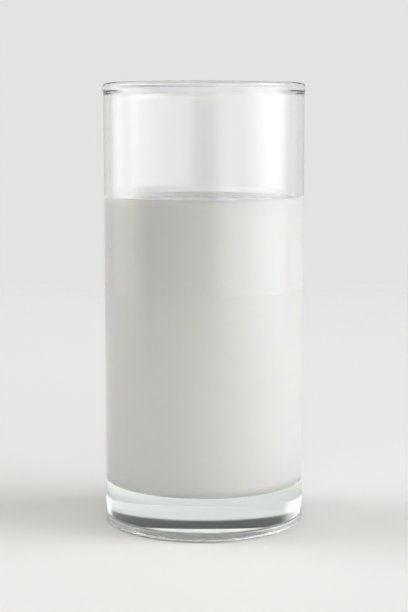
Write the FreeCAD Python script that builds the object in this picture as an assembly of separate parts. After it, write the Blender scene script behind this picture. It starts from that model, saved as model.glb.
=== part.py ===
"""A glass of milk: a straight-sided tumbler with a thick clear base, filled with milk.

Both pieces are turned about the Z axis. The origin is the middle of the circle that the glass
stands on, +Z is up, and every length is in millimetres. Outlines are drawn in the X-Z half plane,
where X is the distance from the axis.
"""

import os

import FreeCAD, Part
from math import cos, radians, sin, tan

Vector = FreeCAD.Vector

# The glass
HEIGHT = 142.0  # foot to rim
BODY_DIAMETER = 64.3  # outside, at the foot
BODY_DRAFT = 0.02  # degrees that the outside leans outwards
WALL = 2.0  # at the rim, below the bead
BORE_DRAFT = 0.25  # degrees that the inside leans outwards
BASE_THICKNESS = 13.4  # foot to the floor of the inside
FLOOR_ROUND = 3.0  # between the floor and the wall inside
HEEL_ROUND = 1.6  # between the foot and the outside
FOOT_LAND = 1.0  # width of the flat ring that the glass stands on
RECESS_RISE = 2.8  # foot to the middle of the underside
RECESS_LEAN = 2.0  # degrees that the underside's low dome leans at its edge
RECESS_FLANK = 50.0  # degrees that the recess's side leans from the level
RECESS_COVE = 2.0  # radius between that side and the dome
RECESS_LIP = 0.8  # radius between that side and the flat ring

# The fire-polished rim
BEAD_PROUD_OUT = 0.3
BEAD_PROUD_IN = 0.15
BEAD_HEIGHT = 2.1  # of the straight part of the bead
BEAD_BLEND = 1.4  # height over which the wall swells into the bead
BEAD_SOFTEN_LOW = 6.0  # radius where the wall turns into the blend
BEAD_SOFTEN_HIGH = 3.0  # radius where the blend turns into the bead
RIM_FLAT = 0.15  # left on top between the two roundings

# The milk
MILK_DEPTH = 91.2  # floor of the inside to the level surface
MENISCUS_CLIMB = 1.5  # how far the milk creeps up the wall
CONTACT_ANGLE = 25.0  # degrees between the milk's edge and the wall


def point(x, z):
    return Vector(x, 0, z)


def line(a, b):
    return Part.LineSegment(a, b).toShape()


def rounded_chain(corners):
    """Edges through (x, z, radius) corners, each corner rounded by its radius; the ends have none."""
    edges = []
    start = point(*corners[0][:2])
    for before, corner, after in zip(corners, corners[1:], corners[2:]):
        here = point(*corner[:2])
        to_before = (point(*before[:2]) - here).normalize()
        to_after = (point(*after[:2]) - here).normalize()
        half_angle = to_before.getAngle(to_after) / 2
        radius = corner[2]
        inwards = (to_before + to_after).normalize()
        centre = here + inwards * (radius / sin(half_angle))
        arc_start = here + to_before * (radius / tan(half_angle))
        arc_end = here + to_after * (radius / tan(half_angle))
        edges.append(line(start, arc_start))
        edges.append(Part.Arc(arc_start, centre - inwards * radius, arc_end).toShape())
        start = arc_end
    edges.append(line(start, point(*corners[-1][:2])))
    return edges


def turned(edges):
    """The solid that a closed outline, its edges in order, sweeps in a full turn about Z."""
    return Part.Face(Part.Wire(edges)).revolve(Vector(0, 0, 0), Vector(0, 0, 1), 360)


def outer_radius(z):
    return BODY_DIAMETER / 2 + z * tan(radians(BODY_DRAFT))


def bore_radius(z):
    return outer_radius(HEIGHT) - WALL - (HEIGHT - z) * tan(radians(BORE_DRAFT))


def tumbler():
    bead_low = HEIGHT - BEAD_HEIGHT
    blend_low = bead_low - BEAD_BLEND
    bead_out = outer_radius(bead_low) + BEAD_PROUD_OUT
    bead_in = bore_radius(bead_low) - BEAD_PROUD_IN
    rim_round = (bead_out - bead_in - RIM_FLAT) / 2
    land_inner = outer_radius(0) - HEEL_ROUND - FOOT_LAND

    shell = rounded_chain(
        [
            (land_inner, 0, 0),
            (outer_radius(0), 0, HEEL_ROUND),
            (outer_radius(blend_low), blend_low, BEAD_SOFTEN_LOW),
            (bead_out, bead_low, BEAD_SOFTEN_HIGH),
            (bead_out, HEIGHT, rim_round),
            (bead_in, HEIGHT, rim_round),
            (bead_in, bead_low, BEAD_SOFTEN_HIGH),
            (bore_radius(blend_low), blend_low, BEAD_SOFTEN_LOW),
            (bore_radius(BASE_THICKNESS), BASE_THICKNESS, FLOOR_ROUND),
            (0, BASE_THICKNESS, 0),
        ]
    )
    axis = line(point(0, BASE_THICKNESS), point(0, RECESS_RISE))
    return turned(shell + [axis] + recess(land_inner))


def recess(land_inner):
    """The underside from the axis to the flat ring: a low dome, a cove, a straight side and a lip."""
    lean = radians(RECESS_LEAN)
    flank = radians(RECESS_FLANK)
    dome_share = tan(lean / 2)
    lip_run = RECESS_LIP * sin(flank)
    lip_rise = RECESS_LIP * (1 - cos(flank))
    cove_run = RECESS_COVE * (sin(flank) - sin(lean))
    cove_rise = RECESS_COVE * (cos(lean) - cos(flank))
    rise_left = RECESS_RISE - lip_rise - cove_rise - dome_share * (land_inner - lip_run - cove_run)
    side = rise_left / (sin(flank) - dome_share * cos(flank))
    dome_radius = (land_inner - lip_run - side * cos(flank) - cove_run) / sin(lean)
    dome_centre = point(0, RECESS_RISE - dome_radius)
    cove_centre = dome_centre + point(sin(lean), cos(lean)) * (dome_radius - RECESS_COVE)
    lip_centre = point(land_inner, RECESS_LIP)

    def arc(centre, radius, start, end):
        on_arc = [
            centre + point(sin(angle), cos(angle)) * radius
            for angle in (start, (start + end) / 2, end)
        ]
        return Part.Arc(*on_arc).toShape()

    dome = arc(dome_centre, dome_radius, 0, lean)
    cove = arc(cove_centre, RECESS_COVE, lean, flank)
    lip = arc(lip_centre, -RECESS_LIP, flank, 0)
    straight = line(cove.Vertexes[1].Point, lip.Vertexes[0].Point)
    return [dome, cove, straight, lip]


def milk():
    level = BASE_THICKNESS + MILK_DEPTH
    edge_height = level + MENISCUS_CLIMB
    edge_radius = bore_radius(edge_height)
    turn = radians(90 - CONTACT_ANGLE)
    curl = MENISCUS_CLIMB / (1 - cos(turn))
    flat_radius = edge_radius - curl * sin(turn)

    side = rounded_chain(
        [
            (0, BASE_THICKNESS, 0),
            (bore_radius(BASE_THICKNESS), BASE_THICKNESS, FLOOR_ROUND),
            (edge_radius, edge_height, 0),
        ]
    )
    middle = point(
        flat_radius + curl * sin(turn / 2), level + curl * (1 - cos(turn / 2))
    )
    meniscus = Part.Arc(
        point(edge_radius, edge_height), middle, point(flat_radius, level)
    ).toShape()
    surface = line(point(flat_radius, level), point(0, level))
    axis = line(point(0, level), point(0, BASE_THICKNESS))
    return turned(side + [meniscus, surface, axis])


os.makedirs("parts", exist_ok=True)
for name, shape in {"tumbler": tumbler(), "milk": milk()}.items():
    shape.exportStep(f"parts/{name}.step")
    box = shape.optimalBoundingBox(False, False)
    print(
        f"{name}: {shape.ShapeType}, valid {shape.isValid()}, {shape.Volume / 1000:.2f} ml,"
        f" radius {box.XMax:.3f}, z {box.ZMin:.3f} to {box.ZMax:.3f}"
    )
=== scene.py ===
"""A glass of milk on a pale surface in soft studio light."""

from math import atan2, ceil, cos, hypot, pi, radians, sin, tan

import bpy
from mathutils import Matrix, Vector

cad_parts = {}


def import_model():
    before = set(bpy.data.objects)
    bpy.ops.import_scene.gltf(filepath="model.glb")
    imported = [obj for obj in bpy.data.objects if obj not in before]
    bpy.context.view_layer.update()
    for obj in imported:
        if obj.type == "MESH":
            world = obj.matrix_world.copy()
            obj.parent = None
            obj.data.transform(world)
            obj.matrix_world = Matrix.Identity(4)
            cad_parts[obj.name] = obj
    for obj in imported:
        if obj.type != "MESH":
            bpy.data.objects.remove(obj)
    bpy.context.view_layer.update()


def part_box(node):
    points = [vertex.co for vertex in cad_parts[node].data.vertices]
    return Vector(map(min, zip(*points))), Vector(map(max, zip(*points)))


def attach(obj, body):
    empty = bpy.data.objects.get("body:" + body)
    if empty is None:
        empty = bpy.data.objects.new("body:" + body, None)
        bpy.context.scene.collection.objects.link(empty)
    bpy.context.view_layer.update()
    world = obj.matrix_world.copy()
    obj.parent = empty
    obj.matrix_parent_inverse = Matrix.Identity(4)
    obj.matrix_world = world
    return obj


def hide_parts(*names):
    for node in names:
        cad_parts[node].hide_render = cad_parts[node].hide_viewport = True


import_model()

# Sizes of the glass, in metres. The rim, the height and the milk's level come from the frame.
MM = 0.001
BEAD_PROUD_OUT = 0.3 * MM
BEAD_PROUD_IN = 0.15 * MM
BEAD_HEIGHT = 2.1 * MM
BEAD_BLEND = 1.4 * MM
BEAD_SOFTEN_LOW = 6.0 * MM
BEAD_SOFTEN_HIGH = 3.0 * MM
RIM_FLAT = 0.15 * MM
BODY_DRAFT = radians(0.02)
BORE_DRAFT = radians(0.25)
FLOOR_ROUND = 3.0 * MM
HEEL_ROUND = 1.6 * MM
FOOT_LAND = 1.0 * MM
RECESS_RISE = 2.8 * MM
RECESS_LEAN = radians(2.0)
RECESS_FLANK = radians(50.0)
RECESS_COVE = 2.0 * MM
RECESS_LIP = 0.8 * MM
MENISCUS_CLIMB = 1.5 * MM
CONTACT_ANGLE = radians(25.0)
INTO_WALL = 0.15 * MM  # how far the milk reaches into the glass, so that no air shows between them

SEGMENTS = 256  # round the axis
ARC_STEP = radians(4.0)
DOME_STEPS = 16
SURFACE_RINGS = 6
SAME_POINT = 1e-7
SURFACE_MARGIN = 0.1 * MM  # below the milk's level, and still part of its open surface
EDGE_MARGIN = 0.02 * MM  # inside the milk's outermost radius

glass_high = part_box("tumbler")[1]
milk_low, milk_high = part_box("milk")
HEIGHT = glass_high.z
BEAD_LOW = HEIGHT - BEAD_HEIGHT
BLEND_LOW = BEAD_LOW - BEAD_BLEND
BASE_THICKNESS = milk_low.z


# Outlines, as (distance from the axis, height, normal) points


def outer_radius(z):
    return glass_high.x - BEAD_PROUD_OUT - (BEAD_LOW - z) * tan(BODY_DRAFT)


def bore_radius(z):
    return milk_high.x + (z - milk_high.z) * tan(BORE_DRAFT)


def arc(centre, radius, start, end, steps=0):
    """Points from angle start to end; angles are from +X towards +Z, and a negative radius is hollow."""
    steps = steps or max(2, ceil(abs(end - start) / ARC_STEP))
    points = []
    for i in range(steps + 1):
        angle = start + (end - start) * i / steps
        outwards = Vector((cos(angle), sin(angle)))
        points.append((centre + outwards * abs(radius), outwards if radius > 0 else -outwards))
    return points


def rounded_chain(corners, side):
    """Points through (x, z, radius) corners, each rounded; side is +1 where the normal is to the right."""
    points = []
    start = Vector(corners[0][:2])
    for before, corner, after in zip(corners, corners[1:], corners[2:]):
        here = Vector(corner[:2])
        radius = corner[2]
        to_before = (Vector(before[:2]) - here).normalized()
        to_after = (Vector(after[:2]) - here).normalized()
        half_angle = to_before.angle(to_after) / 2
        inwards = (to_before + to_after).normalized()
        centre = here + inwards * (radius / sin(half_angle))
        arc_start = here + to_before * (radius / tan(half_angle))
        arc_end = here + to_after * (radius / tan(half_angle))
        run = arc_start - start
        normal = Vector((run.y, -run.x)).normalized() * side
        points.append((start, normal))
        first = arc_start - centre
        last = arc_end - centre
        turn = first.angle_signed(last)
        begin = atan2(first.y, first.x)
        hollow = first.dot(normal) < 0
        points += arc(centre, -radius if hollow else radius, begin, begin - turn)
        start = arc_end
    end = Vector(corners[-1][:2])
    run = end - start
    normal = Vector((run.y, -run.x)).normalized() * side
    points += [(start, normal), (end, normal)]
    return points


def lathe(name, outline, materials, material_of=None):
    """A closed mesh turned about Z from an outline that begins and ends on the axis."""
    rings = []
    for position, normal in outline:
        if rings and (position - rings[-1][0]).length < SAME_POINT:
            continue
        rings.append((position, normal))
    vertices = [(0, 0, rings[0][0].y)]
    normals = [(0, 0, rings[0][1].y)]
    for position, normal in rings[1:-1]:
        for k in range(SEGMENTS):
            angle = 2 * pi * k / SEGMENTS
            vertices.append((position.x * cos(angle), position.x * sin(angle), position.y))
            normals.append((normal.x * cos(angle), normal.x * sin(angle), normal.y))
    vertices.append((0, 0, rings[-1][0].y))
    normals.append((0, 0, rings[-1][1].y))
    last = len(vertices) - 1
    faces = []
    count = len(rings) - 2
    for k in range(SEGMENTS):
        after = (k + 1) % SEGMENTS
        faces.append((0, 1 + after, 1 + k))
        for ring in range(count - 1):
            low = 1 + ring * SEGMENTS
            high = low + SEGMENTS
            faces.append((low + k, low + after, high + after, high + k))
        top = 1 + (count - 1) * SEGMENTS
        faces.append((top + k, top + after, last))
    mesh = bpy.data.meshes.new(name)
    mesh.from_pydata(vertices, [], faces)
    mesh.shade_smooth()
    mesh.normals_split_custom_set_from_vertices(normals)
    for material in materials:
        mesh.materials.append(material)
    if material_of:
        for polygon in mesh.polygons:
            polygon.material_index = material_of(polygon.center)
    piece = bpy.data.objects.new(name, mesh)
    bpy.context.scene.collection.objects.link(piece)
    return piece


def recess_outline(land_inner):
    """The underside from the axis to the flat ring: a low dome, a cove, a straight side and a lip."""
    dome_share = tan(RECESS_LEAN / 2)
    cove_rise = RECESS_COVE * (cos(RECESS_LEAN) - cos(RECESS_FLANK))
    cove_run = RECESS_COVE * (sin(RECESS_FLANK) - sin(RECESS_LEAN))
    lip_rise = RECESS_LIP * (1 - cos(RECESS_FLANK))
    lip_run = RECESS_LIP * sin(RECESS_FLANK)
    rise_left = RECESS_RISE - lip_rise - cove_rise - dome_share * (land_inner - lip_run - cove_run)
    side = rise_left / (sin(RECESS_FLANK) - dome_share * cos(RECESS_FLANK))
    dome_edge = land_inner - lip_run - side * cos(RECESS_FLANK) - cove_run
    dome_radius = dome_edge / sin(RECESS_LEAN)
    dome_centre = Vector((0, RECESS_RISE - dome_radius))
    slope = Vector((sin(RECESS_LEAN), cos(RECESS_LEAN)))
    cove_centre = dome_centre + slope * (dome_radius - RECESS_COVE)
    lip_centre = Vector((land_inner, RECESS_LIP))
    return (
        arc(dome_centre, -dome_radius, pi / 2, pi / 2 - RECESS_LEAN, steps=DOME_STEPS)
        + arc(cove_centre, -RECESS_COVE, pi / 2 - RECESS_LEAN, pi / 2 - RECESS_FLANK)
        + arc(lip_centre, RECESS_LIP, -pi / 2 - RECESS_FLANK, -pi / 2)
    )


def glass_outline():
    bead_out = outer_radius(BEAD_LOW) + BEAD_PROUD_OUT
    bead_in = bore_radius(BEAD_LOW) - BEAD_PROUD_IN
    rim_round = (bead_out - bead_in - RIM_FLAT) / 2
    land_inner = outer_radius(0) - HEEL_ROUND - FOOT_LAND
    shell = rounded_chain(
        [
            (land_inner, 0, 0),
            (outer_radius(0), 0, HEEL_ROUND),
            (outer_radius(BLEND_LOW), BLEND_LOW, BEAD_SOFTEN_LOW),
            (bead_out, BEAD_LOW, BEAD_SOFTEN_HIGH),
            (bead_out, HEIGHT, rim_round),
            (bead_in, HEIGHT, rim_round),
            (bead_in, BEAD_LOW, BEAD_SOFTEN_HIGH),
            (bore_radius(BLEND_LOW), BLEND_LOW, BEAD_SOFTEN_LOW),
            (bore_radius(BASE_THICKNESS), BASE_THICKNESS, FLOOR_ROUND),
            (0, BASE_THICKNESS, 0),
        ],
        side=1,
    )
    return recess_outline(land_inner) + shell


def milk_outline():
    edge_height = milk_high.z
    level = edge_height - MENISCUS_CLIMB
    floor = BASE_THICKNESS - INTO_WALL
    edge_radius = bore_radius(edge_height)
    turn = pi / 2 - CONTACT_ANGLE
    curl = MENISCUS_CLIMB / (1 - cos(turn))
    curl_centre = Vector((edge_radius - curl * sin(turn), level + curl))
    side = rounded_chain(
        [
            (0, floor, 0),
            (bore_radius(floor) + INTO_WALL, floor, FLOOR_ROUND + INTO_WALL),
            (edge_radius + INTO_WALL, edge_height, 0),
        ],
        side=1,
    )
    meniscus = arc(curl_centre, -curl, -pi / 2 + turn, -pi / 2)
    surface = [
        (Vector((curl_centre.x * ring / SURFACE_RINGS, level)), Vector((0, 1)))
        for ring in reversed(range(SURFACE_RINGS))
    ]
    return side + meniscus + surface


# Materials

GLASS_IOR = 1.52
MILK_IOR = 1.35


def new_material(name):
    material = bpy.data.materials.new(name)
    material.use_nodes = True
    tree = material.node_tree
    tree.nodes.clear()
    return material, tree


def add(tree, kind, inputs=None, **settings):
    """A new node; an input is a value, or the socket it is fed from."""
    node = tree.nodes.new(kind)
    for key, value in settings.items():
        setattr(node, key, value)
    for key, value in (inputs or {}).items():
        if isinstance(value, bpy.types.NodeSocket):
            tree.links.new(value, node.inputs[key])
        else:
            node.inputs[key].default_value = value
    return node


def clear_glass():
    material, tree = new_material("clear_glass")
    place = add(tree, "ShaderNodeTexCoord").outputs["Object"]
    ripple = add(tree, "ShaderNodeTexNoise", {"Vector": place, "Scale": 45.0, "Detail": 2.0})
    bump = add(tree, "ShaderNodeBump", {"Height": ripple.outputs["Fac"], "Strength": 0.02, "Distance": 0.001})
    film = add(tree, "ShaderNodeTexNoise", {"Vector": place, "Scale": 160.0, "Detail": 5.0})
    rough = add(
        tree, "ShaderNodeMapRange",
        {"Value": film.outputs["Fac"], "From Min": 0.45, "From Max": 0.8, "To Min": 0.0, "To Max": 0.03},
    )
    shader = add(
        tree, "ShaderNodeBsdfPrincipled",
        {
            "Base Color": (1.0, 1.0, 1.0, 1.0), "Roughness": rough.outputs["Result"], "IOR": GLASS_IOR,
            "Transmission Weight": 1.0, "Normal": bump.outputs["Normal"],
        },
    )
    tint = add(tree, "ShaderNodeVolumeAbsorption", {"Color": (0.55, 0.86, 0.74, 1.0), "Density": 3.0})
    add(tree, "ShaderNodeOutputMaterial", {"Surface": shader.outputs[0], "Volume": tint.outputs[0]})
    return material


def milk_material(name, ior, roughness):
    material, tree = new_material(name)
    place = add(tree, "ShaderNodeTexCoord").outputs["Object"]
    cloud = add(tree, "ShaderNodeTexNoise", {"Vector": place, "Scale": 30.0, "Detail": 3.0})
    colour = add(tree, "ShaderNodeValToRGB", {"Fac": cloud.outputs["Fac"]})
    low, high = colour.color_ramp.elements
    low.position, low.color = 0.3, (0.968, 0.956, 0.912, 1.0)
    high.position, high.color = 0.7, (0.976, 0.966, 0.928, 1.0)
    shader = add(
        tree, "ShaderNodeBsdfPrincipled",
        {
            "Base Color": colour.outputs["Color"], "Roughness": roughness, "IOR": ior,
            "Subsurface Weight": 1.0, "Subsurface Radius": (1.0, 0.85, 0.7), "Subsurface Scale": 0.0025,
        },
    )
    add(tree, "ShaderNodeOutputMaterial", {"Surface": shader.outputs[0]})
    return material


# The pieces

glass = lathe("tumbler_glass", glass_outline(), [clear_glass()])
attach(glass, "root")
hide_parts("tumbler")


def milk_side(centre):
    """0 on the open surface of the milk, and 1 where it lies against the glass."""
    above = centre.z > milk_high.z - MENISCUS_CLIMB - SURFACE_MARGIN
    inside = hypot(centre.x, centre.y) < milk_high.x - EDGE_MARGIN
    return 0 if above and inside else 1


# A surface is shaded as if air were outside it. Against the glass, the ratio of the two indices is what
# bends and reflects the light, and it is below 1, so that low rays are reflected whole under the milk.
milk_finishes = [
    milk_material("milk", MILK_IOR, 0.12),
    milk_material("milk_against_glass", round(MILK_IOR / GLASS_IOR, 3), 0.01),
]
milk = lathe("milk_fill", milk_outline(), milk_finishes, milk_side)
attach(milk, "root")
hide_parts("milk")

# The surface it stands on, which fades into the backdrop

BACKDROP = (0.768, 0.768, 0.752, 1.0)
FLOOR_RADIUS = 1.0
FLOOR_SIDES = 64
FADE_START = 0.3
FADE_END = 0.95
UNDER_FOOT = 0.05 * MM  # air between the foot and the floor, since two faces in one place render black


def floor_material():
    material, tree = new_material("pale_floor")
    place = add(tree, "ShaderNodeTexCoord").outputs["Object"]
    grain = add(tree, "ShaderNodeTexNoise", {"Vector": place, "Scale": 900.0, "Detail": 3.0})
    bump = add(tree, "ShaderNodeBump", {"Height": grain.outputs["Fac"], "Strength": 0.05, "Distance": 0.0002})
    shader = add(
        tree, "ShaderNodeBsdfPrincipled",
        {
            "Base Color": (0.85, 0.85, 0.84, 1.0), "Roughness": 0.6, "Specular IOR Level": 0.2,
            "Normal": bump.outputs[0],
        },
    )
    reach = add(tree, "ShaderNodeVectorMath", {0: place}, operation="LENGTH")
    fade = add(
        tree, "ShaderNodeMapRange",
        {"Value": reach.outputs["Value"], "From Min": FADE_START, "From Max": FADE_END},
        interpolation_type="SMOOTHSTEP",
    )
    gone = add(tree, "ShaderNodeBsdfTransparent")
    mix = add(tree, "ShaderNodeMixShader", {0: fade.outputs[0], 1: shader.outputs[0], 2: gone.outputs[0]})
    add(tree, "ShaderNodeOutputMaterial", {"Surface": mix.outputs[0]})
    return material


def floor():
    mesh = bpy.data.meshes.new("floor")
    angles = [2 * pi * k / FLOOR_SIDES for k in range(FLOOR_SIDES)]
    rim = [(FLOOR_RADIUS * cos(angle), FLOOR_RADIUS * sin(angle), 0) for angle in angles]
    mesh.from_pydata(rim, [], [tuple(range(FLOOR_SIDES))])
    mesh.materials.append(floor_material())
    disc = bpy.data.objects.new("floor", mesh)
    disc.location.z = -UNDER_FOOT
    bpy.context.scene.collection.objects.link(disc)


floor()

# Light: a pale room with soft lamps, brightest on the right, and gaps where it is darker. The backdrop
# is plain where it is seen past the glass or through both of its walls.

ROOM = 0.73
PLAIN = (1.0, 1.0, 1.0)
COOL = (0.98, 1.0, 1.04)
WARM = (1.15, 1.0, 0.7)
LAMPS = [
    # azimuth from straight behind the glass towards the right, elevation, outer and inner reach, in degrees,
    # then strength and tint; a gap has a strength below zero
    (100, 15, 40, 10, 2.4, COOL),  # large lamp on the right
    (100, 30, 30, 10, 2.5, COOL),  # its upper half, which is brighter
    (145, 10, 30, 10, 1.2, PLAIN),  # near lamp on the right
    (180, 30, 35, 10, 0.8, WARM),  # behind the camera
    (-80, 15, 40, 10, 0.9, PLAIN),  # large lamp on the left
    (-85, 35, 30, 10, 2.1, PLAIN),  # its upper half
    (0, 90, 50, 10, 0.6, PLAIN),  # overhead
    (-115, 0, 25, 10, -0.6, PLAIN),  # gap on the left
    (-150, -5, 40, 10, -0.7, PLAIN),  # gap behind the camera, on the left
    (180, -20, 30, 10, -0.7, PLAIN),  # gap low down behind the camera
    (90, -25, 35, 10, -0.7, PLAIN),  # gap low down on the right
    (0, 90, 75, 73.5, -0.65, PLAIN),  # the dark room above the backdrop
]


def vector_math(tree, operation, first, second):
    return add(tree, "ShaderNodeVectorMath", {0: first, 1: second}, operation=operation)


def number_math(tree, operation, first, second):
    return add(tree, "ShaderNodeMath", {0: first, 1: second}, operation=operation).outputs[0]


def lamp_light(tree, direction, lamp):
    """What one lamp adds in a direction: its full strength in its core, and none beyond its reach."""
    azimuth, elevation, reach, core, strength, tint = lamp
    a, e = radians(azimuth), radians(elevation)
    towards = (sin(a) * cos(e), cos(a) * cos(e), sin(e))
    facing = vector_math(tree, "DOT_PRODUCT", direction, towards).outputs["Value"]
    lobe = add(
        tree, "ShaderNodeMapRange",
        {"Value": facing, "From Min": cos(radians(reach)), "From Max": cos(radians(core))},
        interpolation_type="SMOOTHSTEP",
    )
    light = tuple(strength * channel for channel in tint)
    scaled = add(tree, "ShaderNodeVectorMath", {0: light, "Scale": lobe.outputs[0]}, operation="SCALE")
    return scaled.outputs[0]


def world():
    studio = bpy.data.worlds.new("studio")
    bpy.context.scene.world = studio
    studio.use_nodes = True
    tree = studio.node_tree
    tree.nodes.clear()
    direction = add(tree, "ShaderNodeTexCoord").outputs["Generated"]
    total = (ROOM, ROOM, ROOM)
    for lamp in LAMPS:
        total = vector_math(tree, "ADD", total, lamp_light(tree, direction, lamp)).outputs[0]
    total = vector_math(tree, "MAXIMUM", total, (0.0, 0.0, 0.0)).outputs[0]
    seen = add(tree, "ShaderNodeBackground", {"Color": BACKDROP, "Strength": 1.0})
    lit = add(tree, "ShaderNodeBackground", {"Color": total, "Strength": 1.0})
    path = add(tree, "ShaderNodeLightPath").outputs
    crossed = path["Transmission Depth"]
    # Each wall has two faces, so both walls are four. Out here Ray Depth is one more than the faces met,
    # so it exceeds the faces crossed by 1 on a path that only passed through.
    both_walls = number_math(tree, "GREATER_THAN", crossed, 3.5)
    straight = number_math(tree, "LESS_THAN", number_math(tree, "SUBTRACT", path["Ray Depth"], crossed), 1.5)
    through = number_math(tree, "MULTIPLY", both_walls, straight)
    in_view = number_math(tree, "MAXIMUM", path["Is Camera Ray"], through)
    mix = add(tree, "ShaderNodeMixShader", {0: in_view, 1: lit.outputs[0], 2: seen.outputs[0]})
    add(tree, "ShaderNodeOutputWorld", {"Surface": mix.outputs[0]})


world()

# Camera

CAMERA_DISTANCE = 0.4957
CAMERA_HEIGHT = 0.1281
CAMERA_PITCH = radians(6.65)
CAMERA_LENS = 90.25
CAMERA_SENSOR = 36.0

camera_data = bpy.data.cameras.new("camera")
camera_data.lens = CAMERA_LENS
camera_data.sensor_width = CAMERA_SENSOR
camera = bpy.data.objects.new("camera", camera_data)
camera.location = (0, -CAMERA_DISTANCE, CAMERA_HEIGHT)
camera.rotation_euler = (pi / 2 - CAMERA_PITCH, 0, 0)
bpy.context.scene.collection.objects.link(camera)
bpy.context.scene.camera = camera
bpy.context.scene.view_settings.view_transform = "Standard"
